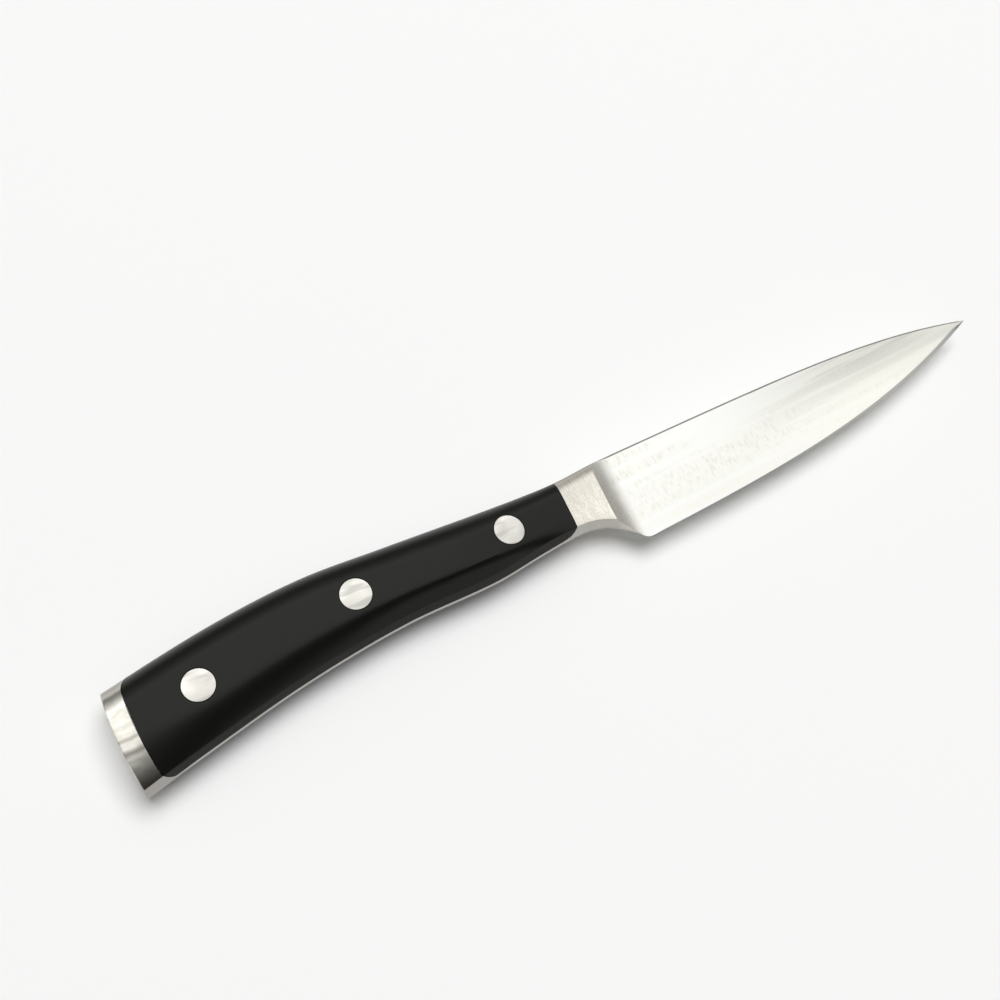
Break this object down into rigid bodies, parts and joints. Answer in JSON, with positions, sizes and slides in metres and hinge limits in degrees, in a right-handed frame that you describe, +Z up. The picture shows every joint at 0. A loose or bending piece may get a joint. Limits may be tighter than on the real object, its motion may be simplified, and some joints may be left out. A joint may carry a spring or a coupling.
{
  "type": "paring knife",
  "caption": "Forged paring knife with a full tang, half bolster and steel butt cap, black riveted handle scales and a slim pointed blade for peeling and trimming.",
  "frame": {"origin": "under the middle of the knife's box, on the surface that the knife lies on with its side flat", "axes": "+X from the butt to the tip, +Y from the cutting edge to the spine, +Z up through the thickness"},
  "size_m": [0.1948, 0.023, 0.014],
  "materials": {
    "blade_steel": "satin ground stainless steel",
    "black_scale": "satin black moulded plastic",
    "rivet_steel": "finely ground stainless steel"
  },
  "bodies": {
    "root": {"forged_blade": "blade_steel", "upper_scale": "black_scale", "lower_scale": "black_scale", "rear_rivet_tube": "rivet_steel", "rear_rivet_pin": "rivet_steel", "middle_rivet_tube": "rivet_steel", "middle_rivet_pin": "rivet_steel", "front_rivet_tube": "rivet_steel", "front_rivet_pin": "rivet_steel"}
  },
  "joints": []
}
